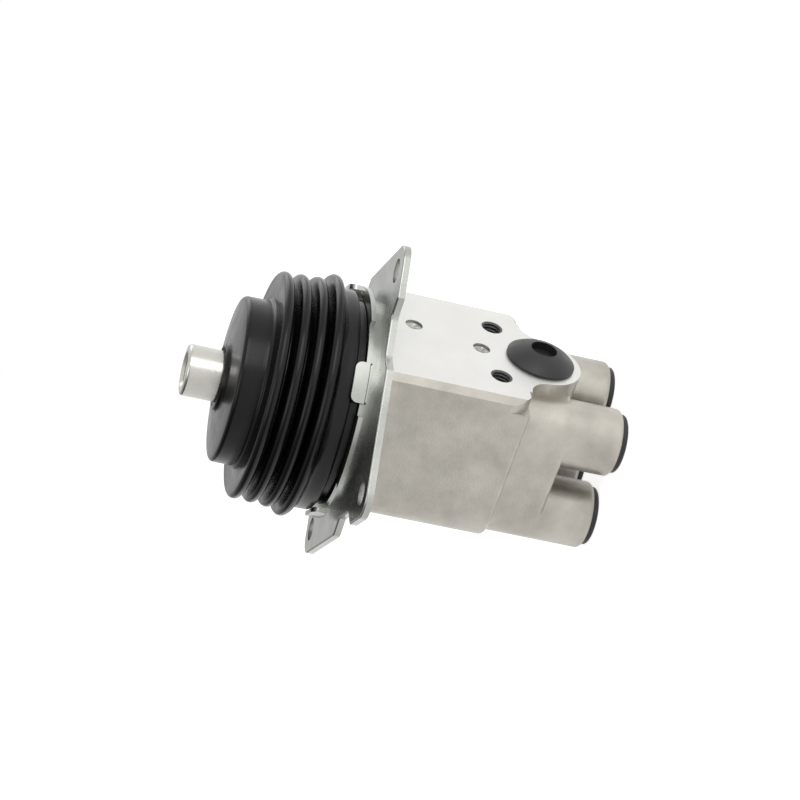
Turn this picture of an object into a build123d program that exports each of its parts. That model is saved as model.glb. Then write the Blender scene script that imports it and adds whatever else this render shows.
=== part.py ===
from build123d import *
import math
import os

# Hydraulic pilot joystick valve, millimetres.
# +Z runs along the lever at rest and z = 0 is the top face of the mounting plate.
# +X is the normal of the machined port face, -Y is the plain cast front.

# ---------- driving dimensions ----------
hole_square = 60.0              # mounting holes, side of their square
plate_t = 2.0                   # mounting plate thickness
plate_hole_r = 3.25             # M6 clearance
boss_pitch = 24.24              # spool bosses, side of their square
boss_r = 9.2
boss_end_z = -68.7
pivot_z = 15.0                  # height of the cross pivot
stud_r = 7.0
stud_top_z = 46.4
stud_thread_r = 4.25            # M10 tapping size
running = 0.03                  # radial running fit of spools
rod_fit = 0.02                  # radial fit of plunger rods in their guides
loose = 0.20                    # clearance of parts that only pass through
seat = 0.02                     # clearance of seated static parts
cap_fit = 0.05                  # radial fit of plastic caps in their ports

# ---------- derived ----------
p = boss_pitch / 2
spots = [(p, p), (-p, p), (-p, -p), (p, -p)]
hole_r = hole_square / math.sqrt(2)
holes = [(hole_r, 0), (0, hole_r), (-hole_r, 0), (0, -hole_r)]

# ---------- body ----------
pad_x = 25.3                    # machined port face
pad_half_y = 21.8
front_y = 23.5
back_x = 22.6
stage1_z = -41.0
stage2_z = -54.5
lower_half = 21.3
port_z = -45.2
port_r = 6.6
port_depth = 10.0
lobe_r = 11.5
pad_corner_r = 6.0
tank_z = -28.75
tank_y = 25.0
gallery_r = 2.5
chamber_r = 6.5
chamber_end_z = -37.0
spool_r = 4.0
spool_end_z = -57.0
guide_r = 7.3
guide_end_z = -5.0
shank_r = 6.0
shank_end_z = -16.0
pad_screw_y = 12.5
pad_screw_z = -33.0
pad_screw_r = 3.0
pad_screw_depth = 5.5
drillings = [(4.8, -10.3), (0.0, tank_z)]
drill_r = 2.4

# ---------- pilot group ----------
tab_in_r = 30.5
tab_t = 1.3
ring_t = 1.2
ring_rim_r = tab_in_r + 1.1
ring_rim_z = 3.8
ring_step_r = tab_in_r - 3.0
hold_r = ring_step_r - 1.0
ring_inner_r = hold_r - 3.0
collar_gap = 0.3
tab_half_w = 5.4
tab_top_z = 6.9
tab_turn = 42.0                 # first tab, degrees from +X
relief_near = (-16.0, -9.0)     # relief slots beside each tab, degrees
relief_far = (9.0, 34.0)
hold_top_z = 4.2
wiper_r = 6.0
rod_r = 4.0
tip_z = 14.4
rod_end_z = -12.0
seat_r = 5.8
seat_t = 2.5
return_wire = 1.2
return_mean_r = 5.2
meter_wire = 0.8
meter_mean_r = 2.4
spool_head_z = -30.0
screw_r = 2.5
screw_spot_r = 18.0
screw_end_z = -10.0

# ---------- lever group ----------
ear_in = 4.2
ear_out = 8.0
ear_half_w = 3.5
cross_half = 3.5
pin_r = 2.0
pin_fit = 0.025
hub_z = pivot_z + 7.5
disc_in_r = 12.0
disc_out_r = 21.0
disc_t = 3.5
hat_r = 14.0
hat_top_z = 27.5
hat_t = 2.5
lever_shank_r = 5.0
lever_shank_top_z = 36.0
nut_af = 17.0
nut_top_z = 32.0

os.makedirs("parts", exist_ok=True)


def cyl(r, z0, z1, x=0.0, y=0.0):
    """Cylinder along Z between two heights."""
    body = Cylinder(r, abs(z1 - z0))
    return Pos(x, y, (z0 + z1) / 2) * body


def cyl_x(r, x0, x1, y, z):
    """Cylinder along X."""
    body = Rot(0, 90, 0) * Cylinder(r, abs(x1 - x0))
    return Pos((x0 + x1) / 2, y, z) * body


def cyl_y(r, y0, y1, x, z):
    """Cylinder along Y."""
    body = Rot(90, 0, 0) * Cylinder(r, abs(y1 - y0))
    return Pos(x, (y0 + y1) / 2, z) * body


def block(x0, x1, y0, y1, z0, z1):
    """Box between limits."""
    body = Box(x1 - x0, y1 - y0, z1 - z0)
    return Pos((x0 + x1) / 2, (y0 + y1) / 2, (z0 + z1) / 2) * body


def turned(points):
    """Solid of revolution about Z from (r, z) points."""
    wire = Polyline(*[(r, 0, z) for r, z in points], close=True)
    return revolve(make_face(wire), Axis.Z)


def spring(mean_r, wire, z0, z1, turns, x, y):
    """Coil spring along Z, its wire between the two heights."""
    low = z0 + wire / 2
    height = (z1 - z0) - wire
    path = Helix(pitch=height / turns, height=height, radius=mean_r)
    start = path @ 0
    profile = Plane(origin=start, z_dir=path % 0) * Circle(wire / 2)
    coil = sweep(profile, path=path, is_frenet=True)
    return Pos(x, y, low) * coil


def save(shape, node):
    """Write one node."""
    export_step(shape, "parts/" + node + ".step")


# ---------- valve body ----------
outline = Polyline(
    (-back_x, -front_y),
    (pad_x, -front_y),
    (pad_x, front_y),
    (-back_x, front_y),
    close=True,
)
stage1 = extrude(make_face(outline), amount=plate_t + stage1_z, dir=(0, 0, 1))
stage1 = Pos(0, 0, -plate_t) * stage1
back_edges = stage1.edges().filter_by(Axis.Z).sort_by(Axis.X)[:2]
stage1 = fillet(back_edges, 11.0)
pad_edges = stage1.edges().filter_by(Axis.Z).sort_by(Axis.X)[-2:]
stage1 = chamfer(pad_edges, front_y - pad_half_y)
low_edges = stage1.faces().sort_by(Axis.Z)[0].edges()
stage1 = fillet(low_edges, 1.0)

lower = Box(2 * lower_half, 2 * lower_half, stage1_z - stage2_z + 3)
lower = Pos(0, 0, (stage1_z + 3 + stage2_z) / 2) * lower
lower = fillet(lower.edges().filter_by(Axis.Z), lower_half - p)
lower = fillet(lower.faces().sort_by(Axis.Z)[0].edges(), 1.5)
valve_body = stage1 + lower
for x, y in spots:
    boss = cyl(boss_r, boss_end_z, stage1_z + 2, x, y)
    boss = fillet(boss.faces().sort_by(Axis.Z)[0].edges(), 1.2)
    valve_body = valve_body + boss

# pad lobe around the pressure port, blended into the pad's lower edge
lobe = cyl_x(lobe_r, 0.0, pad_x, 0, port_z)
valve_body = valve_body + lobe
blend_r = 6.0
drop = stage1_z - blend_r
side = math.sqrt((lobe_r + blend_r) ** 2 - (drop - port_z) ** 2)
for sign in (-1, 1):
    web = block(lower_half - 2, pad_x, -side, side, drop, stage1_z + 1)
    far = sign * 2 * pad_half_y
    half = block(lower_half - 3, pad_x + 1, min(0, far), max(0, far), boss_end_z, 0)
    cut = cyl_x(blend_r, lower_half - 3, pad_x + 1, sign * side, drop)
    valve_body = valve_body + ((web & half) - cut)

# rounded lower corners of the pad
for sign in (-1, 1):
    corner_y = sign * (front_y - pad_corner_r)
    corner_z = stage1_z + pad_corner_r
    far_y = sign * (front_y + 1)
    corner = block(lower_half, pad_x + 1, min(corner_y, far_y), max(corner_y, far_y), stage1_z - 1, corner_z)
    corner = corner - cyl_x(pad_corner_r, lower_half - 1, pad_x + 2, corner_y, corner_z)
    valve_body = valve_body - corner

# tank port boss on the far side
valve_body = valve_body + cyl_y(lobe_r, tank_y - port_depth - 3, tank_y, 0, tank_z)

# bores
for x, y in spots:
    valve_body = valve_body - cyl(guide_r + seat, guide_end_z, 0, x, y)
    valve_body = valve_body - cyl(chamber_r, chamber_end_z, guide_end_z + 1, x, y)
    valve_body = valve_body - cyl(spool_r, spool_end_z - 1, chamber_end_z + 1, x, y)
    valve_body = valve_body - cyl(port_r, boss_end_z - 1, spool_end_z, x, y)
    mouth = Pos(x, y, boss_end_z + 0.4) * Cone(port_r + 0.9, port_r - 0.1, 1.0)
    valve_body = valve_body - mouth
    gap = cyl(spool_r + 1.6, port_z - 2.6, port_z + 2.6, x, y)
    valve_body = valve_body - gap
valve_body = valve_body - cyl(shank_r + seat, shank_end_z - 2, 0)
for k in range(4):
    a = math.radians(90 * k)
    x = screw_spot_r * math.cos(a)
    y = screw_spot_r * math.sin(a)
    valve_body = valve_body - cyl(screw_r + seat, screw_end_z - 1, 0, x, y)
valve_body = valve_body - cyl_x(port_r, pad_x - port_depth, pad_x + 1, 0, port_z)
valve_body = valve_body - cyl_x(gallery_r, -p, pad_x - port_depth + 1, 0, port_z)
valve_body = valve_body - cyl_y(port_r, tank_y - port_depth, tank_y + 1, 0, tank_z)
valve_body = valve_body - cyl_y(gallery_r, -p, tank_y - port_depth + 1, 0, tank_z)
for side_sign in (-1, 1):
    cross_bore = cyl_y(gallery_r, -p, p, side_sign * p, port_z)
    valve_body = valve_body - cross_bore
    valve_body = valve_body - cyl_x(gallery_r, -p, p, side_sign * p, tank_z)
    screw_hole = cyl_x(pad_screw_r, pad_x - pad_screw_depth, pad_x + 1, side_sign * pad_screw_y, pad_screw_z)
    valve_body = valve_body - screw_hole
for y, z in drillings:
    valve_body = valve_body - cyl_x(drill_r, 10.0 if y else 0.0, pad_x + 1, y, z)
for x, y in holes:
    valve_body = valve_body - cyl(plate_hole_r + 1.5, stage1_z, 0, x, y)
save(valve_body, "valve_body")

# ---------- mounting plate ----------
edge_off = 6.6                   # straight edge outside the line of holes
ear_r = 5.5                      # rounded ear tips
notch_off = 2.6                  # edge offset along the notch
notch_from = 9.0
notch_to = 28.0
half_side = hole_square / 2 + edge_off
square = Rectangle(2 * half_side, 2 * half_side)
square = fillet(square.vertices(), ear_r)
depth = edge_off - notch_off
notch_mid = (notch_from + notch_to) / 2 - hole_square / 2
half_top = (notch_to - notch_from) / 2
half_low = half_top - depth
cutter_wire = Polyline(
    (-half_top - 1, -1),
    (half_top + 1, -1),
    (half_low, depth),
    (-half_low, depth),
    close=True,
)
cutter = make_face(cutter_wire)
profile = square
for k in range(4):
    profile = profile - Rot(0, 0, 90 * k) * (Pos(-notch_mid, -half_side) * cutter)
bends = [v for v in profile.vertices() if math.hypot(v.X, v.Y) < hole_r - 0.5]
profile = fillet(bends, 2.6)
plate = extrude(Rot(0, 0, 45) * profile, amount=-plate_t)
outer_edges = plate.faces().sort_by(Axis.Z)[-1].edges()
plate = fillet(outer_edges, 0.45)
for x, y in holes:
    plate = plate - cyl(plate_hole_r, -plate_t - 1, 1, x, y)
for x, y in spots:
    plate = plate - cyl(guide_r + loose, -plate_t - 1, 1, x, y)
plate = plate - cyl(shank_r + loose, -plate_t - 1, 1)
for k in range(4):
    a = math.radians(90 * k)
    x = screw_spot_r * math.cos(a)
    y = screw_spot_r * math.sin(a)
    plate = plate - cyl(screw_r + loose, -plate_t - 1, 1, x, y)
save(plate, "mounting_plate")

# ---------- boot retainer ring ----------
ring = turned([
    (ring_inner_r, 0),
    (ring_step_r + ring_t, 0),
    (ring_step_r + ring_t, ring_rim_z - ring_t),
    (ring_rim_r, ring_rim_z - ring_t),
    (ring_rim_r, ring_rim_z),
    (ring_step_r, ring_rim_z),
    (ring_step_r, ring_t),
    (ring_inner_r, ring_t),
])
tab_out_r = tab_in_r + tab_t
foot = turned([
    (tab_in_r + 0.1, ring_rim_z - ring_t),
    (tab_out_r - 0.6, ring_rim_z - ring_t),
    (tab_out_r, ring_rim_z - ring_t + 0.6),
    (tab_out_r, tab_top_z),
    (tab_in_r, tab_top_z),
    (tab_in_r, ring_rim_z),
    (tab_in_r + 0.1, ring_rim_z),
])
wedge = block(25.0, 40.0, -tab_half_w, tab_half_w, 0, tab_top_z)
top_edges = wedge.edges().filter_by(Axis.X).sort_by(Axis.Z)[-2:]
wedge = fillet(top_edges, 1.8)
for k in range(4):
    for start, end in (relief_near, relief_far):
        slot_wire = Polyline((29.6, 0, 1.5), (40, 0, 1.5), (40, 0, 20), (29.6, 0, 20), close=True)
        relief = revolve(make_face(slot_wire), Axis.Z, revolution_arc=end - start)
        ring = ring - Rot(0, 0, tab_turn + 90 * k + start) * relief
for k in range(4):
    ring = ring + Rot(0, 0, tab_turn + 90 * k) * (foot & wedge)
save(ring, "boot_retainer_ring")

# ---------- hold-down plate and its screws ----------
hold = turned([
    (0, 0),
    (ring_inner_r - loose, 0),
    (ring_inner_r - loose, ring_t),
    (hold_r, ring_t),
    (hold_r, hold_top_z - 0.6),
    (hold_r - 0.6, hold_top_z),
    (0, hold_top_z),
])
hold = hold - cyl(shank_r + loose, -1, 10)
for x, y in spots:
    hold = hold - cyl(rod_r + loose, -1, 10, x, y)
    hold = hold - cyl(wiper_r, 1.7, 10, x, y)
head_r = 4.6
head_t = head_r - screw_r
screws = []
for k in range(4):
    a = math.radians(90 * k)
    x = screw_spot_r * math.cos(a)
    y = screw_spot_r * math.sin(a)
    hold = hold - cyl(screw_r + loose, -1, 10, x, y)
    sink = Pos(x, y, hold_top_z - head_t / 2) * Cone(screw_r + loose, head_r + loose, head_t)
    hold = hold - sink
    top = hold_top_z - 0.15
    head = Pos(x, y, top - head_t / 2) * Cone(screw_r, head_r, head_t)
    shank = cyl(screw_r, screw_end_z, top - head_t, x, y)
    socket = extrude(Pos(x, y) * RegularPolygon(1.7, 6), amount=2.0)
    socket = Pos(0, 0, top - 1.9) * socket
    screws.append((head + shank) - socket)
save(hold, "hold_down_plate")
save(Compound(children=screws), "hold_down_screws")

# ---------- plunger guides, O-rings and wipers ----------
guides = []
rings = []
wipers = []
for x, y in spots:
    guide = cyl(guide_r, guide_end_z, 0, x, y)
    guide = guide - cyl(rod_r + rod_fit, guide_end_z - 1, 1, x, y)
    groove = cyl(guide_r + 1, -4.1, -2.9, x, y) - cyl(guide_r - 1.0, -4.1, -2.9, x, y)
    guides.append(guide - groove)
    o_ring = Pos(x, y, -3.5) * Torus(guide_r - 0.5, 0.48)
    rings.append(o_ring)
    wiper = cyl(wiper_r - seat, 1.7, hold_top_z + 0.1, x, y)
    lip = Pos(x, y, hold_top_z + 0.5) * Cone(wiper_r - 0.3, rod_r + 0.6, 0.8)
    wiper = (wiper + lip) - cyl(rod_r + 0.05, 0, 10, x, y)
    wipers.append(wiper)
save(Compound(children=guides), "plunger_guides")
save(Compound(children=rings), "guide_o_rings")
save(Compound(children=wipers), "plunger_wiper_seals")

# ---------- plungers, seats, springs and spools ----------
for i, (x, y) in enumerate(spots, start=1):
    rod = cyl(rod_r, rod_end_z, tip_z - rod_r, x, y)
    dome = Pos(x, y, tip_z - rod_r) * Sphere(rod_r)
    spigot = cyl(1.5, rod_end_z - seat_t, rod_end_z, x, y)
    save(rod + dome + spigot, "plunger_" + str(i))
    dish = cyl(seat_r, rod_end_z - seat_t, rod_end_z, x, y)
    dish = dish - cyl(1.5 + seat, rod_end_z - seat_t - 1, rod_end_z + 1, x, y)
    save(dish, "spring_seat_" + str(i))
    spring_top = rod_end_z - seat_t - seat
    coil = spring(return_mean_r, return_wire, chamber_end_z + seat, spring_top, 6.5, x, y)
    save(coil, "return_spring_" + str(i))
    fine = spring(meter_mean_r, meter_wire, spool_head_z + seat, spring_top, 7.5, x, y)
    save(fine, "metering_spring_" + str(i))
    r = spool_r - running
    spool = cyl(3.2, spool_head_z - 1.5, spool_head_z, x, y)
    spool = spool + cyl(2.0, chamber_end_z, spool_head_z - 1.5, x, y)
    spool = spool + cyl(r, spool_end_z + 0.8, chamber_end_z, x, y)
    waist = cyl(r + 1, port_z - 2.3, port_z + 2.3, x, y) - cyl(2.8, port_z - 2.3, port_z + 2.3, x, y)
    spool = spool - waist
    spool = spool - cyl(1.2, spool_end_z, port_z - 4, x, y)
    save(spool, "spool_" + str(i))

# ---------- port plugs ----------
cap_r = 8.0
cap_h = 1.6
cap_stem = 6.6
plug_r = 9.4
plug_rise = 3.4
plug_recess_r = 3.6
plug_recess_d = 2.6
for i, (x, y) in enumerate(spots, start=1):
    head = cyl(cap_r, boss_end_z - cap_h, boss_end_z, x, y)
    head = fillet(head.faces().sort_by(Axis.Z)[0].edges(), 0.7)
    stem = cyl(port_r - cap_fit, boss_end_z, boss_end_z + cap_stem, x, y)
    hollow = cyl(port_r - 1.8, boss_end_z - 0.2, boss_end_z + cap_stem + 1, x, y)
    save((head + stem) - hollow, "port_cap_" + str(i))


def dome_cap(head_r, rise, recess_r, recess_d):
    """Domed plug along +Z with its flange on z = 0."""
    base = 0.8
    big_r = (head_r ** 2 + rise ** 2) / (2 * rise)
    ball = Pos(0, 0, base + rise - big_r) * Sphere(big_r)
    top = ball & cyl(head_r + 5, base, base + rise + 1)
    plug = cyl(head_r, 0, base) + top
    plug = plug + cyl(port_r - cap_fit, -cap_stem, 0)
    plug = plug - cyl(recess_r, base + rise - recess_d, base + rise + 2)
    return plug


plug = dome_cap(plug_r, plug_rise, plug_recess_r, plug_recess_d)
save(Pos(pad_x, 0, port_z) * (Rot(0, 90, 0) * plug), "pressure_port_cap")
save(Pos(0, tank_y, tank_z) * (Rot(-90, 0, 0) * plug), "tank_port_cap")

balls = []
for y, z in drillings:
    pin = cyl_x(drill_r - seat, pad_x - 4.0, pad_x - 0.5, y, z)
    dish = Pos(pad_x + 1.3, y, z) * Sphere(2.3)
    balls.append(pin - dish)
save(Compound(children=balls), "drilling_plugs")


# ---------- universal joint ----------
def ears(z0, z1):
    """Pair of fork ears either side of X = 0, rounded about the pin."""
    pair = []
    for sign in (-1, 1):
        x0 = min(sign * ear_in, sign * ear_out)
        x1 = max(sign * ear_in, sign * ear_out)
        ear = block(x0, x1, -ear_half_w, ear_half_w, z0, z1)
        ear = ear + cyl_x(ear_half_w + 0.5, x0, x1, 0, pivot_z)
        pair.append(ear - cyl_x(pin_r + pin_fit, x0 - 1, x1 + 1, 0, pivot_z))
    return pair


hex_top_z = hold_top_z + 3.0
base_hex = extrude(RegularPolygon(8.5, 6, major_radius=False), amount=3.0)
base_hex = Pos(0, 0, hold_top_z) * base_hex
joint_base = base_hex + cyl(shank_r, shank_end_z, hold_top_z)
for ear in ears(hex_top_z, pivot_z):
    joint_base = joint_base + ear
joint_base = Rot(0, 0, -45) * joint_base
save(joint_base, "joint_base")

cross = Pos(0, 0, pivot_z) * Box(2 * cross_half, 2 * cross_half, 2 * cross_half)
cross = chamfer(cross.edges(), 0.4)
cross = cross + cyl_x(pin_r, -ear_out, ear_out, 0, pivot_z)
cross = cross + cyl_y(pin_r, -ear_out, ear_out, 0, pivot_z)
save(Rot(0, 0, -45) * cross, "joint_cross")

yoke = cyl(ear_out, hub_z, pivot_z + 10.0)
for ear in ears(pivot_z, hub_z):
    yoke = yoke + ear
yoke = yoke + cyl(lever_shank_r, pivot_z + 10.0, lever_shank_top_z)
save(Rot(0, 0, 45) * yoke, "upper_yoke")

swash = turned([
    (disc_in_r, pivot_z),
    (disc_out_r - 0.5, pivot_z),
    (disc_out_r, pivot_z + 0.5),
    (disc_out_r, pivot_z + disc_t - 0.5),
    (disc_out_r - 0.5, pivot_z + disc_t),
    (hat_r, pivot_z + disc_t),
    (hat_r, hat_top_z - 1.0),
    (hat_r - 1.0, hat_top_z),
    (lever_shank_r + seat, hat_top_z),
    (lever_shank_r + seat, hat_top_z - hat_t),
    (disc_in_r, hat_top_z - hat_t),
])
save(swash, "swash_plate")

nut = extrude(RegularPolygon(nut_af / 2, 6, major_radius=False), amount=nut_top_z - hat_top_z)
nut = Pos(0, 0, hat_top_z) * nut
nut = nut & (cyl(nut_af / 2 + 0.9, hat_top_z, nut_top_z))
nut = nut - cyl(lever_shank_r + seat, 0, 60)
save(nut, "lock_nut")

stud = cyl(stud_r, nut_top_z, stud_top_z)
stud = fillet(stud.faces().sort_by(Axis.Z)[-1].edges(), 0.8)
stud = stud - cyl(lever_shank_r + seat, nut_top_z - 1, lever_shank_top_z)
stud = stud - cyl(stud_thread_r, lever_shank_top_z - 0.5, stud_top_z + 1)
stud = stud - Pos(0, 0, stud_top_z - 0.35) * Cone(stud_thread_r, stud_thread_r + 0.75, 0.75)
save(stud, "lever_stud")

# ---------- boot ----------
wall = 1.6
crests = [(12.5, 33.1), (17.2, 31.5), (22.0, 31.3), (26.8, 31.1)]
collar_r = tab_in_r - collar_gap
neck_r = ring_step_r + 0.5
boot_z = ring_rim_z + collar_gap
outer = [(neck_r, boot_z), (neck_r, 6.0), (collar_r - 0.8, 6.1), (collar_r, 6.9), (collar_r, 10.2)]
for z, r in crests:
    outer.append((r - 0.6, z - 1.4))
    outer.append((r, z - 0.5))
    outer.append((r, z + 0.5))
    outer.append((r - 0.7, z + 1.3))
    if z < crests[-1][0]:
        outer.append((25.4, z + 1.9))
        outer.append((25.4, z + 2.6))
outer.append((22.9, 28.9))
outer.append((22.6, 33.0))
outer.append((21.6, 34.0))
outer.append((9.8, 36.2))
outer.append((8.9, 37.4))
inner = [(stud_r + 0.3, 37.4), (stud_r + 0.3, 34.8), (20.6, 32.3), (20.9, 27.2)]
for z, r in reversed(crests):
    inner.append((r - 2.4, z + 0.2))
    inner.append((r - 2.4, z - 0.2))
    if z > crests[0][0]:
        inner.append((23.6, z - 1.9))
        inner.append((23.6, z - 2.6))
inner.append((neck_r - 1.0, 9.8))
inner.append((neck_r - 1.0, boot_z))
save(turned(outer + inner), "bellows_boot")
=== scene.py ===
"""Hydraulic pilot joystick valve: finishes, rubber boot, springs, threads, light and camera."""

import logging
import math
from dataclasses import dataclass, field
from enum import Enum

import bpy
from mathutils import Matrix, Vector

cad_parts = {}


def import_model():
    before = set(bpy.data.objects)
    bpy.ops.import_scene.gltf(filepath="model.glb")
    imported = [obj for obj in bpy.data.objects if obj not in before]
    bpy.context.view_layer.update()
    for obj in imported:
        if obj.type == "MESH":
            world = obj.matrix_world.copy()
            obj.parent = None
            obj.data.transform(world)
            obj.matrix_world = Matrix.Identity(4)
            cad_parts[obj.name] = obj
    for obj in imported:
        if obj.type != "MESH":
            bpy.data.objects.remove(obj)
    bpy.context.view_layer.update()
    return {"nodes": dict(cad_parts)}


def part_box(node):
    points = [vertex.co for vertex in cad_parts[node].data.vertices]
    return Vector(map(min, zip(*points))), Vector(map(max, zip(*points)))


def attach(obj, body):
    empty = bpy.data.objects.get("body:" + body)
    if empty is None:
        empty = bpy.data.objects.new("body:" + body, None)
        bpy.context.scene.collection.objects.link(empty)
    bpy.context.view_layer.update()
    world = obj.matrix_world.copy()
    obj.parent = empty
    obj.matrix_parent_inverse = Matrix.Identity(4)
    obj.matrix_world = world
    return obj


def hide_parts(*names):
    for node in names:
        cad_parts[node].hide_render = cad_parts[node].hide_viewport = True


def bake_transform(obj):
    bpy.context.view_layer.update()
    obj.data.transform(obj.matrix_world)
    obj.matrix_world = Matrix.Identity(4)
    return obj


LOG = logging.getLogger("joystick_valve")
MM = 0.001
MILL_STRETCH = 60.0
MOTTLE_EDGES = (0.32, 0.68)
Point = tuple[float, float]


class Metal(Enum):
    """How a metal part of the valve was finished."""

    CAST = "cast"
    ZINC = "zinc"
    PLATED = "plated"
    DARK = "dark"
    GROUND = "ground"
    BRONZE = "bronze"


# ---------------------------------------------------------------- node helpers


def new_group(name: str, inputs: dict[str, float], output: str, kind: str) -> bpy.types.NodeTree:
    """Start a shader group with float inputs and one output.

    Args:
        name: Name of the group.
        inputs: Input names with their default values.
        output: Name of the output.
        kind: Socket type of the output.

    Returns:
        The empty group.
    """
    tree = bpy.data.node_groups.new(name, "ShaderNodeTree")
    for label, value in inputs.items():
        sock = tree.interface.new_socket(label, in_out="INPUT", socket_type="NodeSocketFloat")
        sock.default_value = value
    tree.interface.new_socket(output, in_out="OUTPUT", socket_type=kind)
    return tree


def math_node(tree: bpy.types.NodeTree, how: str, a: object, b: object) -> bpy.types.NodeSocket:
    """Join two values with a math node.

    Args:
        tree: Tree that gets the node.
        how: Operation name.
        a: First socket or number.
        b: Second socket or number.

    Returns:
        The result socket.
    """
    node = tree.nodes.new("ShaderNodeMath")
    node.operation = how
    for sock, value in zip(node.inputs, (a, b)):
        if isinstance(value, bpy.types.NodeSocket):
            tree.links.new(value, sock)
        else:
            sock.default_value = float(value)
    return node.outputs[0]


def cast_grain_group() -> bpy.types.NodeTree:
    """Height of a blasted casting: fine pimples over a slow waviness."""
    tree = new_group("cast_grain", {"Grain": 1.0, "Wave": 1.0}, "Height", "NodeSocketFloat")
    src = tree.nodes.new("NodeGroupInput")
    out = tree.nodes.new("NodeGroupOutput")
    place = tree.nodes.new("ShaderNodeTexCoord")
    fine = tree.nodes.new("ShaderNodeTexNoise")
    fine.inputs["Scale"].default_value = 2600.0
    fine.inputs["Detail"].default_value = 4.0
    slow = tree.nodes.new("ShaderNodeTexNoise")
    slow.inputs["Scale"].default_value = 260.0
    slow.inputs["Detail"].default_value = 2.0
    for tex in (fine, slow):
        tree.links.new(place.outputs["Object"], tex.inputs["Vector"])
    small = math_node(tree, "MULTIPLY", fine.outputs["Fac"], src.outputs["Grain"])
    large = math_node(tree, "MULTIPLY", slow.outputs["Fac"], src.outputs["Wave"])
    tree.links.new(math_node(tree, "ADD", small, large), out.inputs[0])
    return tree


def mottle_group() -> bpy.types.NodeTree:
    """Patchy value between two limits, for stained and uneven finishes."""
    inputs = {"Scale": 60.0, "Low": 0.8, "High": 1.0}
    tree = new_group("mottle", inputs, "Value", "NodeSocketFloat")
    src = tree.nodes.new("NodeGroupInput")
    out = tree.nodes.new("NodeGroupOutput")
    place = tree.nodes.new("ShaderNodeTexCoord")
    noise = tree.nodes.new("ShaderNodeTexNoise")
    noise.inputs["Detail"].default_value = 6.0
    noise.inputs["Roughness"].default_value = 0.6
    tree.links.new(place.outputs["Object"], noise.inputs["Vector"])
    tree.links.new(src.outputs["Scale"], noise.inputs["Scale"])
    span = tree.nodes.new("ShaderNodeMapRange")
    span.inputs["From Min"].default_value = MOTTLE_EDGES[0]
    span.inputs["From Max"].default_value = MOTTLE_EDGES[1]
    tree.links.new(noise.outputs["Fac"], span.inputs["Value"])
    tree.links.new(src.outputs["Low"], span.inputs["To Min"])
    tree.links.new(src.outputs["High"], span.inputs["To Max"])
    tree.links.new(span.outputs["Result"], out.inputs[0])
    return tree


def turning_group() -> bpy.types.NodeTree:
    """Height of fine rings left by a lathe around Z."""
    tree = new_group("turning_rings", {"Pitch": 4200.0}, "Height", "NodeSocketFloat")
    src = tree.nodes.new("NodeGroupInput")
    out = tree.nodes.new("NodeGroupOutput")
    place = tree.nodes.new("ShaderNodeTexCoord")
    split = tree.nodes.new("ShaderNodeSeparateXYZ")
    tree.links.new(place.outputs["Object"], split.inputs[0])
    height = math_node(tree, "MULTIPLY", split.outputs["Z"], src.outputs["Pitch"])
    noise = tree.nodes.new("ShaderNodeTexNoise")
    noise.noise_dimensions = "1D"
    noise.inputs["Scale"].default_value = 1.0
    noise.inputs["Detail"].default_value = 3.0
    tree.links.new(height, noise.inputs["W"])
    tree.links.new(noise.outputs["Fac"], out.inputs[0])
    return tree


def brushed_group() -> bpy.types.NodeTree:
    """Height of straight scratches left by a milling pass along Y."""
    tree = new_group("mill_marks", {"Pitch": 1800.0}, "Height", "NodeSocketFloat")
    src = tree.nodes.new("NodeGroupInput")
    out = tree.nodes.new("NodeGroupOutput")
    place = tree.nodes.new("ShaderNodeTexCoord")
    split = tree.nodes.new("ShaderNodeSeparateXYZ")
    tree.links.new(place.outputs["Object"], split.inputs[0])
    join = tree.nodes.new("ShaderNodeCombineXYZ")
    along = math_node(tree, "MULTIPLY", split.outputs["Y"], MILL_STRETCH)
    across = math_node(tree, "MULTIPLY", split.outputs["Z"], src.outputs["Pitch"])
    tree.links.new(along, join.inputs["X"])
    tree.links.new(across, join.inputs["Y"])
    noise = tree.nodes.new("ShaderNodeTexNoise")
    noise.inputs["Scale"].default_value = 1.0
    noise.inputs["Detail"].default_value = 3.0
    tree.links.new(join.outputs[0], noise.inputs["Vector"])
    tree.links.new(noise.outputs["Fac"], out.inputs[0])
    return tree


@dataclass
class FinishKit:
    """Shader groups that the finishes share."""

    grain: bpy.types.NodeTree = field(default_factory=cast_grain_group)
    mottle: bpy.types.NodeTree = field(default_factory=mottle_group)
    rings: bpy.types.NodeTree = field(default_factory=turning_group)
    marks: bpy.types.NodeTree = field(default_factory=brushed_group)


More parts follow.
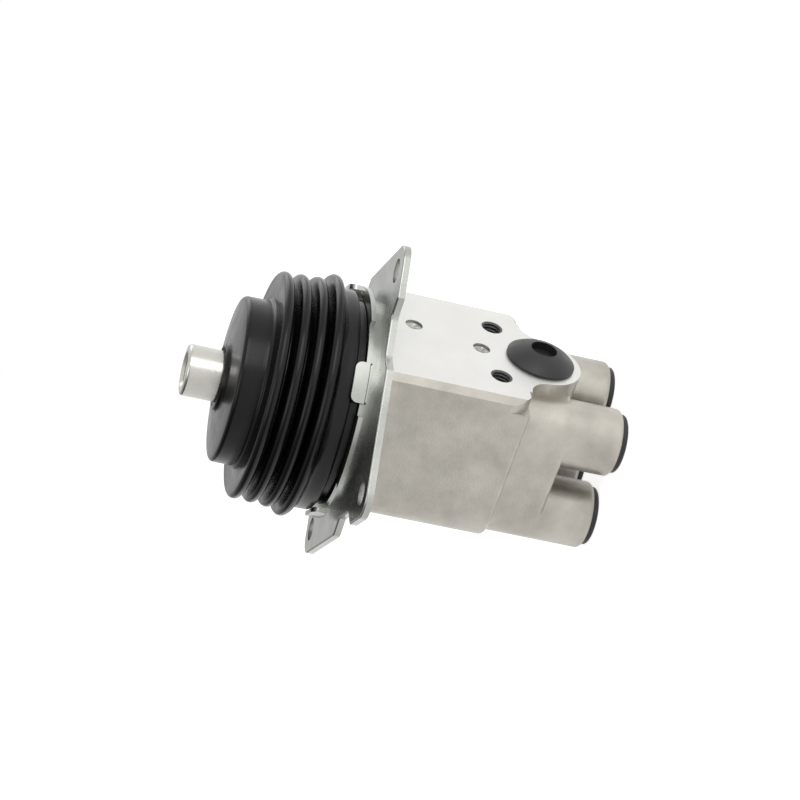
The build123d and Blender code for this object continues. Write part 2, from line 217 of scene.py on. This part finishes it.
@dataclass(frozen=True)
class Finish:
    """One surface finish.

    Attributes:
        name: Material name.
        color: Linear base colour.
        metallic: Share of metal.
        rough: Roughness range over the surface.
        patch: Scale of the patchiness.
        shade: Darkest and lightest factor on the colour.
        bump: Bump strength.
        relief: Which relief it carries.
        coat: Weight of a clear skin.
        pitch: Rings or scratches per metre in the relief.
        coat_rough: Roughness of the clear skin.
        relief_depth: Depth of the relief in metres.
    """

    name: str
    color: tuple[float, float, float]
    metallic: float
    rough: tuple[float, float]
    patch: float = 60.0
    shade: tuple[float, float] = (0.9, 1.0)
    bump: float = 0.2
    relief: str = "grain"
    coat: float = 0.0
    pitch: float = 2600.0
    coat_rough: float = 0.35
    relief_depth: float = 0.0001

    def group(self, mat: bpy.types.Material, tree: bpy.types.NodeTree) -> bpy.types.Node:
        """Place a shared group in the material."""
        node = mat.node_tree.nodes.new("ShaderNodeGroup")
        node.node_tree = tree
        return node

    def patchy(
        self, mat: bpy.types.Material, kit: FinishKit, scale: float, span: Point
    ) -> bpy.types.NodeSocket:
        """Make a patchy value.

        Args:
            mat: Material that gets the group.
            kit: The shared groups.
            scale: Scale of the patches.
            span: Lowest and highest value.

        Returns:
            The value socket.
        """
        node = self.group(mat, kit.mottle)
        node.inputs["Scale"].default_value = scale
        node.inputs["Low"].default_value = span[0]
        node.inputs["High"].default_value = span[1]
        return node.outputs[0]

    def build(self, kit: FinishKit) -> bpy.types.Material:
        """Make the material.

        Args:
            kit: The shared groups.

        Returns:
            The material.
        """
        mat = bpy.data.materials.new(self.name)
        mat.use_nodes = True
        tree = mat.node_tree
        shader = tree.nodes["Principled BSDF"]
        shader.inputs["Metallic"].default_value = self.metallic
        shader.inputs["Coat Weight"].default_value = self.coat
        shader.inputs["Coat Roughness"].default_value = self.coat_rough
        tint = tree.nodes.new("ShaderNodeMix")
        tint.data_type = "RGBA"
        tint.blend_type = "MULTIPLY"
        tint.inputs["Factor"].default_value = 1.0
        tint.inputs["A"].default_value = (*self.color, 1.0)
        tree.links.new(self.patchy(mat, kit, self.patch, self.shade), tint.inputs["B"])
        tree.links.new(tint.outputs["Result"], shader.inputs["Base Color"])
        tree.links.new(self.patchy(mat, kit, self.patch * 2.3, self.rough), shader.inputs["Roughness"])
        bump = tree.nodes.new("ShaderNodeBump")
        bump.inputs["Strength"].default_value = self.bump
        bump.inputs["Distance"].default_value = self.relief_depth
        if self.relief == "rings":
            relief = self.group(mat, kit.rings)
            relief.inputs["Pitch"].default_value = self.pitch
        elif self.relief == "marks":
            relief = self.group(mat, kit.marks)
            relief.inputs["Pitch"].default_value = self.pitch
        else:
            relief = self.group(mat, kit.grain)
        tree.links.new(relief.outputs[0], bump.inputs["Height"])
        tree.links.new(bump.outputs["Normal"], shader.inputs["Normal"])
        return mat


@dataclass
class CastBodyFinish:
    """Satin cast aluminium whose port face is milled bright."""

    kit: FinishKit
    pad_x: float = 25.3 * MM
    cast: tuple[float, float, float] = (0.50, 0.475, 0.425)
    milled: tuple[float, float, float] = (0.72, 0.715, 0.69)
    metal: float = 0.8
    cast_rough: float = 0.34
    milled_rough: float = 0.42
    mottle_scale: float = 110.0
    mottle_low: float = 0.76
    milled_calm: float = 0.8
    mark_share: float = 0.25
    relief: float = 0.3
    relief_depth: float = 0.00025
    face_margin: float = 0.00003

    def build(self) -> bpy.types.Material:
        """Make the two-tone material of the casting.

        Returns:
            The material.
        """
        mat = bpy.data.materials.new("cast_aluminium")
        mat.use_nodes = True
        tree = mat.node_tree
        shader = tree.nodes["Principled BSDF"]
        shader.inputs["Metallic"].default_value = self.metal
        place = tree.nodes.new("ShaderNodeTexCoord")
        split = tree.nodes.new("ShaderNodeSeparateXYZ")
        tree.links.new(place.outputs["Object"], split.inputs[0])
        mask = math_node(tree, "GREATER_THAN", split.outputs["X"], self.pad_x - self.face_margin)
        tint = tree.nodes.new("ShaderNodeMix")
        tint.data_type = "RGBA"
        tint.inputs["A"].default_value = (*self.cast, 1.0)
        tint.inputs["B"].default_value = (*self.milled, 1.0)
        tree.links.new(mask, tint.inputs["Factor"])
        shade = tree.nodes.new("ShaderNodeMix")
        shade.data_type = "RGBA"
        shade.blend_type = "MULTIPLY"
        calm = math_node(tree, "MULTIPLY", mask, self.milled_calm)
        tree.links.new(math_node(tree, "SUBTRACT", 1.0, calm), shade.inputs["Factor"])
        patch = tree.nodes.new("ShaderNodeGroup")
        patch.node_tree = self.kit.mottle
        patch.inputs["Scale"].default_value = self.mottle_scale
        patch.inputs["Low"].default_value = self.mottle_low
        tree.links.new(tint.outputs["Result"], shade.inputs["A"])
        tree.links.new(patch.outputs[0], shade.inputs["B"])
        tree.links.new(shade.outputs["Result"], shader.inputs["Base Color"])
        rough = tree.nodes.new("ShaderNodeMix")
        rough.inputs["A"].default_value = self.cast_rough
        rough.inputs["B"].default_value = self.milled_rough
        tree.links.new(mask, rough.inputs["Factor"])
        tree.links.new(rough.outputs["Result"], shader.inputs["Roughness"])
        grain = tree.nodes.new("ShaderNodeGroup")
        grain.node_tree = self.kit.grain
        marks = tree.nodes.new("ShaderNodeGroup")
        marks.node_tree = self.kit.marks
        height = tree.nodes.new("ShaderNodeMix")
        tree.links.new(mask, height.inputs["Factor"])
        tree.links.new(grain.outputs[0], height.inputs["A"])
        faint = math_node(tree, "MULTIPLY", marks.outputs[0], self.mark_share)
        tree.links.new(faint, height.inputs["B"])
        bump = tree.nodes.new("ShaderNodeBump")
        bump.inputs["Strength"].default_value = self.relief
        bump.inputs["Distance"].default_value = self.relief_depth
        tree.links.new(height.outputs["Result"], bump.inputs["Height"])
        tree.links.new(bump.outputs["Normal"], shader.inputs["Normal"])
        return mat


@dataclass
class MetalShelf:
    """Every metal finish of the valve, made once."""

    kit: FinishKit
    made: dict[Metal, bpy.types.Material] = field(default_factory=dict)

    def build(self) -> None:
        """Make the metals."""
        self.made[Metal.CAST] = CastBodyFinish(self.kit).build()
        zinc = Finish("zinc_plate", (0.43, 0.44, 0.41), 1.0, (0.22, 0.34), 45.0, (0.72, 1.0), 0.10)
        self.made[Metal.ZINC] = zinc.build(self.kit)
        plated = Finish(
            "plated_turned", (0.56, 0.55, 0.51), 1.0, (0.24, 0.30), 80.0, (0.88, 1.0), 0.04, "rings"
        )
        self.made[Metal.PLATED] = plated.build(self.kit)
        dark = Finish("phosphated_steel", (0.12, 0.12, 0.125), 0.8, (0.40, 0.55), 70.0, (0.75, 1.0), 0.2)
        self.made[Metal.DARK] = dark.build(self.kit)
        ground = Finish(
            "ground_steel", (0.66, 0.66, 0.65), 1.0, (0.18, 0.28), 90.0, (0.9, 1.0), 0.1, "rings"
        )
        self.made[Metal.GROUND] = ground.build(self.kit)
        bronze = Finish(
            "bronze_bush", (0.60, 0.40, 0.17), 1.0, (0.28, 0.4), 80.0, (0.85, 1.0), 0.1, "rings"
        )
        self.made[Metal.BRONZE] = bronze.build(self.kit)


# ---------------------------------------------------------------- mesh helpers


def clear_selection() -> None:
    """Leave nothing selected."""
    if bpy.context.object is not None and bpy.context.object.mode != "OBJECT":
        bpy.ops.object.mode_set(mode="OBJECT")
    bpy.ops.object.select_all(action="DESELECT")


def turn_profile(name: str, profile: list[Point], segments: int) -> bpy.types.Object:
    """Turn a closed profile about Z by extruding one ring after another.

    Args:
        name: Name of the piece.
        profile: Radius and height of each ring in millimetres.
        segments: Points round each ring.

    Returns:
        The finished shell at the origin.
    """
    clear_selection()
    radius, height = profile[0]
    bpy.ops.mesh.primitive_circle_add(vertices=segments, radius=radius * MM, fill_type="NOTHING")
    piece = bpy.context.object
    piece.name = name
    bpy.ops.object.mode_set(mode="EDIT")
    bpy.ops.mesh.select_all(action="SELECT")
    bpy.ops.transform.translate(value=(0, 0, height * MM))
    for next_radius, next_height in profile[1:] + profile[:1]:
        step = (0, 0, (next_height - height) * MM)
        bpy.ops.mesh.extrude_region_move(TRANSFORM_OT_translate={"value": step})
        scale = next_radius / radius
        centre = (0, 0, next_height * MM)
        bpy.ops.transform.resize(value=(scale, scale, 1), center_override=centre)
        radius, height = next_radius, next_height
    bpy.ops.mesh.select_all(action="SELECT")
    bpy.ops.mesh.remove_doubles(threshold=0.000005)
    bpy.ops.mesh.normals_make_consistent(inside=False)
    bpy.ops.object.mode_set(mode="OBJECT")
    return piece


def arc(centre: Point, radius: float, start: float, end: float, steps: int) -> list[Point]:
    """Points of an arc in the (radius, height) plane.

    Args:
        centre: Centre of the arc.
        radius: Radius of the arc.
        start: First angle in degrees, from the outward direction.
        end: Last angle in degrees.
        steps: Number of spans.

    Returns:
        The points in order.
    """
    points = []
    for k in range(steps + 1):
        turn = math.radians(start + (end - start) * k / steps)
        points.append((centre[0] + radius * math.cos(turn), centre[1] + radius * math.sin(turn)))
    return points


def dress(piece: bpy.types.Object, finish: bpy.types.Material, slot: str, *bodies: str) -> None:
    """Give a new piece its material and, when one body is named, its body."""
    piece.data.materials.clear()
    piece.data.materials.append(finish)
    if len(bodies) == 1:
        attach(piece, bodies[0])


def smooth(piece: bpy.types.Object, angle: float = 40.0) -> None:
    """Shade a piece smooth, keeping edges sharper than the angle."""
    clear_selection()
    piece.select_set(True)
    bpy.context.view_layer.objects.active = piece
    bpy.ops.object.shade_smooth_by_angle(angle=math.radians(angle))


# ---------------------------------------------------------------- sub-assemblies


@dataclass
class RubberBoot:
    """Bellows boot in two halves that meet under the drum."""

    kit: FinishKit
    segments: int = 160
    wall: float = 1.6
    collar_r: float = 30.2
    groove_r: float = 24.9
    crests: tuple[Point, ...] = ((33.2, 12.8), (31.6, 16.95), (31.3, 21.45), (31.1, 26.0))
    seam: Point = (23.3, 27.7)
    lean: float = 0.8
    shine: float = 0.24

    def rubber(self) -> bpy.types.Material:
        """Black satin rubber."""
        finish = Finish(
            "boot_rubber", (0.004, 0.004, 0.005), 0.0, (0.20, 0.30), 70.0, (0.8, 1.1), 0.08
        )
        mat = finish.build(self.kit)
        shader = mat.node_tree.nodes["Principled BSDF"]
        shader.inputs["Specular IOR Level"].default_value = self.shine
        return mat

    def folds(self) -> list[Point]:
        """Outside of the collar and the folds, upwards.

        Returns:
            Ring radii and heights.
        """
        points = [(28.0, 4.1), (28.0, 5.2), (28.0, 6.0), (28.4, 6.15)]
        points += arc((self.collar_r - 0.8, 7.0), 0.8, -82, 0, 5)
        points += [(self.collar_r, 8.2), (self.collar_r, 9.6), (self.collar_r + 0.15, 10.3)]
        for k, (r, z) in enumerate(self.crests):
            tip = 1.45
            if k == 0:
                points.append((self.collar_r + 0.7, z - 1.62))
                points += arc((r - tip, z), tip, -62, 74, 12)
            else:
                points += arc((r - tip, z), tip, -74, 74, 12)
            if k < len(self.crests) - 1:
                gap = self.crests[k + 1][1] - z
                middle = z + gap / 2
                half = gap / 2 - tip * 0.96
                points.append((self.groove_r + 2.6, middle - half - 0.12))
                points += arc((self.groove_r + 0.9, middle), 0.9, 250, 110, 8)
                points.append((self.groove_r + 2.6, middle + half + 0.12))
        points.append((27.4, 27.15))
        points.append(self.seam)
        return points

    def lower(self) -> bpy.types.Object:
        """Collar and folds, from the housing up to the cross."""
        outer = self.folds()
        inner = [(self.seam[0] - self.wall, 26.4)]
        for r, z in reversed(self.crests):
            inner.append((r - 3.1, z + 0.5))
            inner.append((r - 3.1, z - 0.5))
            if z > self.crests[0][1]:
                inner.append((self.groove_r - 1.4, z - 2.0))
                inner.append((self.groove_r - 1.4, z - 2.8))
        inner += [(27.0, 9.4), (27.0, 4.1)]
        piece = turn_profile("boot_folds", outer + inner, self.segments)
        smooth(piece, 60)
        return piece

    def upper(self) -> bpy.types.Object:
        """Drum, crown and lip, from the cross up to the lever."""
        outer = [self.seam]
        outer += arc((23.4, 28.7), 0.8, 250, 180, 5)
        outer += [(22.6, 29.6), (22.6, 31.6), (22.55, 33.4)]
        outer += arc((21.35, 33.75), 1.2, 5, 80, 7)
        outer += [(18.0, 35.3), (14.0, 35.75), (10.4, 36.1)]
        outer += arc((9.6, 36.3), 0.25, 250, 190, 3)
        outer += arc((8.55, 36.45), 0.65, 10, 165, 6)
        inner = [(7.3, 36.2), (7.3, 34.4), (12.0, 33.8), (20.0, 33.0), (20.9, 31.8), (21.0, 27.6)]
        inner += [(self.seam[0] - self.wall, 26.4)]
        piece = turn_profile("boot_drum", outer + inner, self.segments)
        smooth(piece, 60)
        return piece

    def settle(self, piece: bpy.types.Object) -> None:
        """Let the soft folds lean a little to one side, as a boot does on its ring."""
        aim = Vector((0.857, 0.515, 0.0))
        for vert in piece.data.vertices:
            height = vert.co.z / MM
            rise = min(max((height - 9.0) / 3.0, 0.0), 1.0) * min(max((35.8 - height) / 4.0, 0.0), 1.0)
            vert.co.z -= self.lean * rise * vert.co.dot(aim) / 31.0

    def build(self) -> None:
        """Make both halves and lean them a little to one side."""
        rubber = self.rubber()
        folds = self.lower()
        self.settle(folds)
        dress(folds, rubber, "rubber_black")
        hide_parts("bellows_boot")
        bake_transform(folds)
        drum = self.upper()
        self.settle(drum)
        dress(drum, rubber, "rubber_black")
        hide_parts("bellows_boot")
        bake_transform(drum)
        LOG.info("boot: %s, %s", folds.name, drum.name)


@dataclass
class CarriedSolids:
    """CAD solids that keep their shape and get a finish."""

    nodes: dict[str, bpy.types.Object]
    kit: FinishKit
    metals: dict[Metal, bpy.types.Material]

    def plastic(self) -> bpy.types.Material:
        """Black moulded plastic of the plugs."""
        finish = Finish("plug_plastic", (0.011, 0.011, 0.012), 0.0, (0.40, 0.55), 90.0, (0.8, 1.1), 0.15)
        return finish.build(self.kit)

    def seal(self) -> bpy.types.Material:
        """Black nitrile of the hidden seals."""
        finish = Finish("seal_rubber", (0.012, 0.012, 0.013), 0.0, (0.45, 0.6), 90.0, (0.8, 1.1), 0.1)
        return finish.build(self.kit)

    def finish_of(
        self, node: str, plastic: bpy.types.Material, seal: bpy.types.Material
    ) -> bpy.types.Material:
        """Choose the finish of a node by its name.

        Args:
            node: Node name.
            plastic: Plug plastic.
            seal: Seal rubber.

        Returns:
            The material.
        """
        table = {
            "valve_body": self.metals[Metal.CAST],
            "mounting_plate": self.metals[Metal.ZINC],
            "boot_retainer_ring": self.metals[Metal.ZINC],
            "lock_nut": self.metals[Metal.ZINC],
            "lever_stud": self.metals[Metal.PLATED],
            "joint_cross": self.metals[Metal.GROUND],
            "drilling_plugs": self.metals[Metal.ZINC],
            "plunger_guides": self.metals[Metal.BRONZE],
            "guide_o_rings": seal,
            "plunger_wiper_seals": seal,
            "bellows_boot": seal,
        }
        if node in table:
            return table[node]
        if "cap" in node:
            return plastic
        if node.startswith(("plunger_", "spool_")):
            return self.metals[Metal.GROUND]
        return self.metals[Metal.DARK]

    def build(self) -> None:
        """Dress every carried solid."""
        plastic = self.plastic()
        seal = self.seal()
        for name, node in self.nodes.items():
            finish = self.finish_of(name, plastic, seal)
            node.data.materials.clear()
            node.data.materials.append(finish)
        LOG.info("dressed %d solids", len(self.nodes))


@dataclass
class TappedHoles:
    """Cut threads in the stud and in the port face."""

    metals: dict[Metal, bpy.types.Material]
    segments: int = 64

    def sleeve(
        self, name: str, major: float, minor: float, pitch: float, depth: float
    ) -> bpy.types.Object:
        """Thin threaded sleeve along Z that opens at z = 0.

        Args:
            name: Name of the piece.
            major: Outer radius.
            minor: Radius of the crests.
            pitch: Distance between crests.
            depth: Length of the sleeve.

        Returns:
            The sleeve, closed at its lower end.
        """
        floor_top = -depth + 0.25
        profile = [(major, -0.05), (major, -depth), (0.2, -depth), (0.2, floor_top), (minor, floor_top)]
        turns = int((depth - 0.6) / pitch)
        for k in range(turns, 0, -1):
            low = -0.35 - k * pitch
            profile += [(minor, low), (minor, low + 0.14 * pitch), (major - 0.06, low + 0.5 * pitch)]
            profile.append((minor, low + 0.86 * pitch))
        profile += [(minor, -0.3), (major - 0.03, -0.05)]
        return turn_profile(name, profile, self.segments)

    def place(self, piece: bpy.types.Object, turn: float, spot: tuple[float, float, float]) -> None:
        """Turn a sleeve about Y, move it to its hole and apply both."""
        clear_selection()
        piece.select_set(True)
        bpy.context.view_layer.objects.active = piece
        piece.rotation_euler = (0, math.radians(turn), 0)
        piece.location = [v * MM for v in spot]
        bpy.ops.object.transform_apply(location=True, rotation=True, scale=True)

    def build(self) -> None:
        """Thread the stud and both screw holes."""
        stud = self.sleeve("stud_thread", 4.23, 3.7, 1.5, 9.3)
        self.place(stud, 0, (0, 0, 45.6))
        smooth(stud, 30)
        dress(stud, self.metals[Metal.PLATED], "plated_stud", "lever")
        for side in (-1, 1):
            screw = self.sleeve(f"port_face_thread_{'a' if side < 0 else 'b'}", 2.98, 2.45, 1.0, 5.4)
            self.place(screw, 90, (25.25, 12.5 * side, -33.0))
            smooth(screw, 30)
            dress(screw, self.metals[Metal.DARK], "dark_steel", "housing")
        LOG.info("threads cut")


@dataclass
class CoilSprings:
    """Return and metering springs wound in the boxes of their solids."""

    finish: bpy.types.Material
    return_wire: float = 1.2
    meter_wire: float = 0.8
    follow: float = 0.225
    steps: int = 24

    def coil(self, node: str, wire: float, turns: float) -> bpy.types.Object:
        """Wind a coil in the box of its solid.

        Args:
            node: Node that the coil replaces.
            wire: Wire diameter in millimetres.
            turns: Number of turns.

        Returns:
            The closed coil.
        """
        low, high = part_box(node)
        mean_r = (high[0] - low[0] - wire * MM) / 2
        clear_selection()
        bpy.ops.mesh.primitive_circle_add(
            vertices=10,
            radius=wire * MM / 2,
            fill_type="NOTHING",
            rotation=(math.pi / 2, 0, 0),
            location=(mean_r, 0, low[2] + wire * MM / 2),
        )
        piece = bpy.context.object
        piece.name = f"{node}_coil"
        bpy.ops.object.transform_apply(location=True, rotation=True, scale=True)
        winding = piece.modifiers.new("winding", "SCREW")
        winding.angle = math.tau * turns
        winding.screw_offset = high[2] - low[2] - wire * MM
        winding.steps = int(self.steps * turns)
        winding.render_steps = winding.steps
        bpy.ops.object.modifier_apply(modifier=winding.name)
        bpy.ops.object.mode_set(mode="EDIT")
        bpy.ops.mesh.select_all(action="SELECT")
        bpy.ops.mesh.fill_holes(sides=0)
        bpy.ops.mesh.select_all(action="SELECT")
        bpy.ops.mesh.normals_make_consistent(inside=False)
        bpy.ops.transform.translate(value=((low[0] + high[0]) / 2, (low[1] + high[1]) / 2, 0))
        bpy.ops.object.mode_set(mode="OBJECT")
        smooth(piece, 50)
        return piece

    def between(self, piece: bpy.types.Object, node: str) -> None:
        """Give a coil its finish, hide the solid it replaces and bake its place.

        Args:
            piece: The coil.
            node: Node that the coil replaces.
        """
        dress(piece, self.finish, "spring_steel")
        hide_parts(node)
        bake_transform(piece)

    def build(self) -> None:
        """Wind all eight springs."""
        for number in range(1, 5):
            node = f"return_spring_{number}"
            self.between(self.coil(node, self.return_wire, 6.5), node)
            node = f"metering_spring_{number}"
            self.between(self.coil(node, self.meter_wire, 7.5), node)
        LOG.info("springs wound")


# ---------------------------------------------------------------- studio


@dataclass
class Studio:
    """Plain floor, soft lamps and the camera."""

    azimuth: float = 30.676
    elevation: float = 12.067
    roll: float = -78.119
    eye: tuple[float, float, float] = (322.363, -536.077, 121.078)
    lens: float = 106.455
    floor_z: float = -0.0704
    ambient: float = 0.34
    soft_box: tuple[float, float, float] = (0.78, 0.58, 0.2)
    fall_from: Point = (-0.85, 0.5)
    fall_to: Point = (0.12, 1.0)
    floor_size: float = 6.0
    floor_white: float = 0.93
    floor_glow: float = 0.78
    lamp_size: float = 0.5

    def camera(self) -> None:
        """Place the camera."""
        az, el, roll = (math.radians(v) for v in (self.azimuth, self.elevation, self.roll))
        back = Vector((math.sin(az) * math.cos(el), -math.cos(az) * math.cos(el), math.sin(el)))
        right = Vector((math.cos(az), math.sin(az), 0))
        up = back.cross(right)
        rolled_right = right * math.cos(roll) + up * math.sin(roll)
        rolled_up = up * math.cos(roll) - right * math.sin(roll)
        turn = Matrix((rolled_right, rolled_up, back)).transposed().to_4x4()
        data = bpy.data.cameras.new("view_camera")
        data.lens = self.lens
        data.sensor_width = 36.0
        data.clip_start = 0.01
        cam = bpy.data.objects.new("view_camera", data)
        bpy.context.collection.objects.link(cam)
        cam.matrix_world = Matrix.Translation(Vector(self.eye) * MM) @ turn
        bpy.context.scene.camera = cam

    def world(self) -> None:
        """Dim, even surroundings that look white."""
        world = bpy.data.worlds.new("studio")
        bpy.context.scene.world = world
        world.use_nodes = True
        tree = world.node_tree
        base = tree.nodes["Background"]
        base.inputs["Color"].default_value = (1, 1, 1, 1)
        path = tree.nodes.new("ShaderNodeLightPath")
        camera_ray, through_ray = path.outputs["Is Camera Ray"], path.outputs["Is Transmission Ray"]
        seen = math_node(tree, "MAXIMUM", camera_ray, through_ray)
        extra = math_node(tree, "SUBTRACT", self.glow_in_metal(tree), self.ambient)
        lit = math_node(tree, "MULTIPLY", extra, path.outputs["Is Glossy Ray"])
        level = math_node(tree, "ADD", lit, self.ambient)
        rest = math_node(tree, "MULTIPLY", math_node(tree, "SUBTRACT", 1.0, level), seen)
        tree.links.new(math_node(tree, "ADD", level, rest), base.inputs["Strength"])

    def glow_in_metal(self, tree: bpy.types.NodeTree) -> bpy.types.NodeSocket:
        """White surroundings that fall off away from the soft box, as metal shows them.

        Args:
            tree: The world's tree.

        Returns:
            Strength by direction.
        """
        place = tree.nodes.new("ShaderNodeTexCoord")
        aim = tree.nodes.new("ShaderNodeVectorMath")
        aim.operation = "DOT_PRODUCT"
        aim.inputs[1].default_value = self.soft_box
        tree.links.new(place.outputs["Generated"], aim.inputs[0])
        fall = tree.nodes.new("ShaderNodeMapRange")
        fall.interpolation_type = "SMOOTHSTEP"
        fall.inputs["From Min"].default_value = self.fall_from[0]
        fall.inputs["From Max"].default_value = self.fall_from[1]
        fall.inputs["To Min"].default_value = self.fall_to[0]
        fall.inputs["To Max"].default_value = self.fall_to[1]
        tree.links.new(aim.outputs["Value"], fall.inputs["Value"])
        return fall.outputs["Result"]

    def floor(self) -> None:
        """Pale floor under the caps that keeps a soft shadow."""
        clear_selection()
        bpy.ops.mesh.primitive_plane_add(size=self.floor_size, location=(0, 0, self.floor_z))
        floor = bpy.context.object
        floor.name = "floor"
        mat = bpy.data.materials.new("floor_white")
        mat.use_nodes = True
        shader = mat.node_tree.nodes["Principled BSDF"]
        shader.inputs["Base Color"].default_value = (self.floor_white, self.floor_white, self.floor_white, 1)
        shader.inputs["Roughness"].default_value = 0.9
        shader.inputs["Specular IOR Level"].default_value = 0.0
        shader.inputs["Emission Color"].default_value = (1, 1, 1, 1)
        path = mat.node_tree.nodes.new("ShaderNodeLightPath")
        seen = math_node(
            mat.node_tree, "MAXIMUM", path.outputs["Is Camera Ray"], path.outputs["Is Glossy Ray"]
        )
        seen = math_node(mat.node_tree, "MAXIMUM", seen, path.outputs["Is Transmission Ray"])
        glow = math_node(mat.node_tree, "MULTIPLY", seen, self.floor_glow)
        mat.node_tree.links.new(glow, shader.inputs["Emission Strength"])
        floor.data.materials.append(mat)

    def lamp(self, name: str, place: tuple[float, float, float], size: float, watts: float) -> None:
        """Area lamp aimed at the middle of the valve."""
        data = bpy.data.lights.new(name, "AREA")
        data.size = size
        data.energy = watts
        lamp = bpy.data.objects.new(name, data)
        bpy.context.collection.objects.link(lamp)
        lamp.location = place
        aim = Vector((0, 0, -0.015)) - Vector(place)
        lamp.rotation_euler = aim.to_track_quat("-Z", "Y").to_euler()

    def build(self) -> None:
        """Set the whole studio."""
        self.camera()
        self.world()
        self.floor()
        self.lamp("key_over_port_face", (0.75, -0.25, 0.12), self.lamp_size, 2.2)
        self.lamp("fill_lever_end", (0.15, -0.45, 0.75), self.lamp_size, 1.2)
        self.lamp("rim_far_side", (0.2, 0.7, 0.3), self.lamp_size, 1.0)
        bpy.context.scene.view_settings.view_transform = "Standard"


def main() -> None:
    """Load the frame, dress it and set the studio."""
    logging.basicConfig(level=logging.INFO)
    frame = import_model()
    kit = FinishKit()
    shelf = MetalShelf(kit)
    shelf.build()
    CarriedSolids(frame["nodes"], kit, shelf.made).build()
    RubberBoot(kit).build()
    TappedHoles(shelf.made).build()
    CoilSprings(shelf.made[Metal.DARK]).build()
    Studio().build()


if __name__ == "__main__":
    main()
